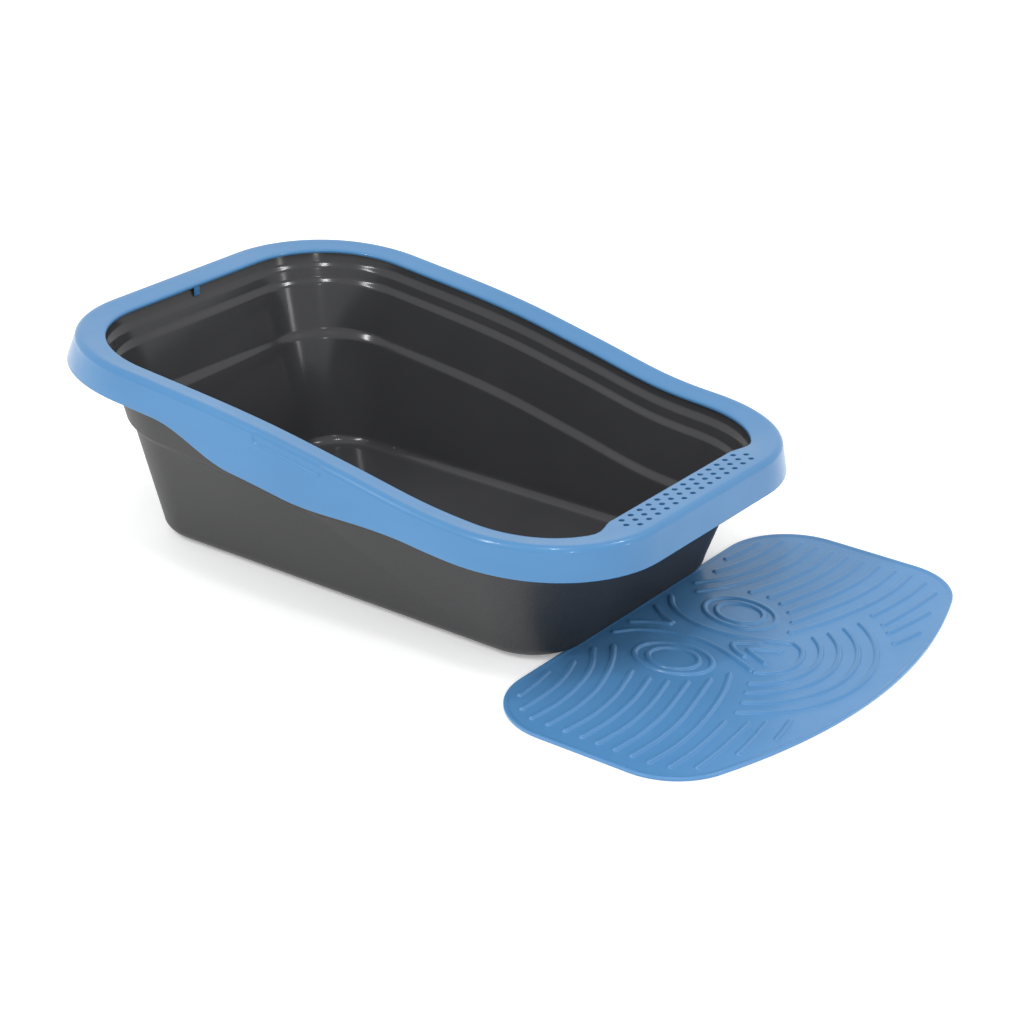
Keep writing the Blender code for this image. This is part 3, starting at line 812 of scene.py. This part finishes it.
def face_ribs():
    """(path, closed) of the ribs on the +X half of the mat, and of those on its middle line.

    The face looks away from the tray: its forehead lies at the back edge, its chin in the bow.
    """
    half = []
    middle = []

    # Eyes.
    for half_length, half_width in EYE_RINGS:
        half.append((ellipse(np.array(EYE_CENTRE), half_length, half_width, math.radians(EYE_TILT)), True))

    # Brows, which run on as the sides of the nose.
    half.append((smooth_path([
        (0.0405, -0.0125), (0.0255, -0.0251), (0.0139, -0.0473), (0.0101, -0.0707),
        (0.0123, -0.0918), (0.0189, -0.1129), (0.0286, -0.1351),
    ]), False))

    # Forehead.
    half.append((smooth_path([(0.0178, -0.013), (0.0076, -0.0265), (0.0018, -0.04)]), False))

    # Nose: a peak with a smaller one inside it, over a rounded mouth.
    middle.append((smooth_path([
        (-0.0125, -0.1185), (-0.008, -0.107), (0.0, -0.0995), (0.008, -0.107), (0.0125, -0.1185),
    ]), False))
    half.append((smooth_path([(0.0125, -0.1375), (0.0068, -0.1255), (0.0012, -0.1145)]), False))
    middle.append((smooth_path([
        (-0.0295, -0.1395), (-0.0235, -0.1495), (-0.012, -0.1563), (0.0, -0.1585),
        (0.012, -0.1563), (0.0235, -0.1495), (0.0295, -0.1395),
    ]), False))

    # Chin.
    for half_chord, end_y, low_y in (
        (0.0475, -0.146, -0.1717),
        (0.0615, -0.152, -0.186),
        (0.076, -0.158, -0.2005),
        (0.0917, -0.1625, -0.2146),
    ):
        middle.append((arc_through(half_chord, end_y, low_y), False))

    # Fur, from the edge in to the face.
    for knots in (
        ((0.17, -0.0155), (0.148, -0.0138), (0.127, -0.0105)),
        ((0.186, -0.0295), (0.159, -0.0295), (0.136, -0.0272), (0.117, -0.0225), (0.1015, -0.0165)),
        ((0.193, -0.044), (0.161, -0.0457), (0.128, -0.0412), (0.099, -0.0317), (0.0735, -0.0155)),
        ((0.193, -0.0594), (0.161, -0.0608), (0.128, -0.0566), (0.099, -0.0472),
         (0.077, -0.0365), (0.0605, -0.0256)),
        ((0.193, -0.0754), (0.161, -0.0777), (0.128, -0.0739), (0.104, -0.0672), (0.0866, -0.0614)),
        ((0.193, -0.0906), (0.161, -0.0923), (0.128, -0.0892), (0.104, -0.0836), (0.088, -0.0787)),
        ((0.193, -0.1054), (0.161, -0.1077), (0.128, -0.1043), (0.104, -0.0988), (0.0835, -0.093)),
        ((0.193, -0.121), (0.161, -0.1228), (0.128, -0.1194), (0.0995, -0.1128), (0.0746, -0.1063)),
        ((0.193, -0.1363), (0.161, -0.1379), (0.128, -0.135), (0.0915, -0.1262), (0.061, -0.1178)),
        ((0.193, -0.1515), (0.161, -0.1538), (0.128, -0.151), (0.0915, -0.143),
         (0.065, -0.1345), (0.0445, -0.1255)),
        ((0.189, -0.1675), (0.16, -0.1685), (0.131, -0.1662), (0.1105, -0.1635)),
        ((0.1775, -0.184), (0.142, -0.1828), (0.1015, -0.1788)),
        ((0.143, -0.197), (0.117, -0.1935), (0.092, -0.189)),
        ((0.107, -0.2078), (0.093, -0.2052), (0.0785, -0.2018)),
    ):
        half.append((smooth_path(knots), False))
    return half, middle


def mat_shape():
    """The mat with its raised edge bead and its ribs."""
    points, normals = mat_outline()
    bead = MAT_THICKNESS + MAT_BEAD_HEIGHT
    rings = []
    for inset, z in (
        (0.0009, 0.0),
        (0.0002, 0.0002),
        (0.0, MAT_EDGE),
        (0.0, bead - MAT_EDGE),
        (0.0004, bead - 0.0002),
        (0.0011, bead),
        (MAT_BEAD_WIDTH * 0.5, bead - 0.0001),
        (MAT_BEAD_WIDTH * 0.75, bead - 0.0005),
        (MAT_BEAD_WIDTH * 0.95, MAT_THICKNESS + 0.0001),
        (MAT_BEAD_WIDTH * 1.15, MAT_THICKNESS),
    ):
        flat = points - normals * inset
        rings.append(np.column_stack([flat, np.full(len(flat), z)]))
    shape = loft(rings, "caps")
    half, middle = face_ribs()
    for path, closed in half:
        added(shape, rib_shape(path, closed))
        added(shape, rib_shape(path * (-1.0, 1.0), closed))
    for path, closed in middle:
        added(shape, rib_shape(path, closed))
    up = [face for face in shape.faces if face.normal.z < 0 and face.calc_center_median().z > MAT_THICKNESS]
    bmesh.ops.reverse_faces(shape, faces=up)
    return shape


# ---------------------------------------------------------------- stage, light and camera
def direction(azimuth, elevation):
    """Unit vector towards a place seen from the object; azimuth 0 is -Y and 90 degrees is +X."""
    a = math.radians(azimuth)
    e = math.radians(elevation)
    return Vector((math.sin(a) * math.cos(e), -math.cos(a) * math.cos(e), math.sin(e)))


def aimed(obj, azimuth, elevation, distance, target):
    obj.location = target + direction(azimuth, elevation) * distance
    obj.rotation_euler = direction(azimuth, elevation).to_track_quat("Z", "Y").to_euler()


def softbox(name, size, power, azimuth, elevation, distance, target):
    light = bpy.data.lights.new(name, "AREA")
    light.shape = "RECTANGLE"
    light.size, light.size_y = size
    light.energy = power
    obj = bpy.data.objects.new(name, light)
    bpy.context.scene.collection.objects.link(obj)
    aimed(obj, azimuth, elevation, distance, target)
    return obj


def studio():
    world = bpy.data.worlds.new("studio")
    bpy.context.scene.world = world
    world.use_nodes = True
    world.node_tree.nodes["Background"].inputs["Color"].default_value = (1.0, 1.0, 1.0, 1.0)
    world.node_tree.nodes["Background"].inputs["Strength"].default_value = 1.0
    target = Vector((0.0, TRAY_Y, 0.1))
    softbox("key_left", (0.22, 1.0), 24.0, azimuth=-105.0, elevation=46.0, distance=3.0, target=target)
    softbox("overhead_left", (0.12, 0.3), 5.0, azimuth=-45.0, elevation=66.0, distance=2.0, target=target)
    softbox("overhead_right", (0.12, 0.3), 5.0, azimuth=30.0, elevation=55.0, distance=2.0, target=target)
    softbox("front_strip", (0.14, 0.5), 3.0, azimuth=-38.0, elevation=20.0, distance=2.6, target=target)
    softbox("entrance_strip", (0.2, 0.4), 2.0, azimuth=10.0, elevation=10.0, distance=2.6, target=target)

    floor_mesh = bpy.data.meshes.new("floor")
    shape = bmesh.new()
    bmesh.ops.create_grid(shape, x_segments=8, y_segments=8, size=FLOOR_HALF_SIZE)
    shape.to_mesh(floor_mesh)
    shape.free()
    floor_mesh.materials.append(floor_finish())
    floor = bpy.data.objects.new("floor", floor_mesh)
    bpy.context.scene.collection.objects.link(floor)
    floor.location.z = -FLOOR_DROP


def camera():
    data = bpy.data.cameras.new("camera")
    data.sensor_width = 36.0
    data.lens = CAMERA_LENS
    obj = bpy.data.objects.new("camera", data)
    bpy.context.scene.collection.objects.link(obj)
    across, along, up = CAMERA_TARGET
    target = Vector((across, TRAY_Y + along, up))
    aimed(obj, CAMERA_AZIMUTH, CAMERA_ELEVATION, CAMERA_DISTANCE, target)
    bpy.context.scene.camera = obj


# ---------------------------------------------------------------- assembly
camera()
studio()
bpy.context.scene.view_settings.view_transform = "Standard"

stations = Stations()
charcoal = [tray_inside_finish(), tray_outside_finish()]
piece("tray_moulded", tray_shape(stations), "tray", "tray", charcoal)
rim = piece("rim_moulded", rim_shape(stations), "rim", "rim", [rim_finish()])
perforated(rim, perforations(stations))
mat_place = (0.0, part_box("mat")[1].y, 0.0)
piece("mat_moulded", mat_shape(), "mat", "mat", [mat_finish()], mat_place)
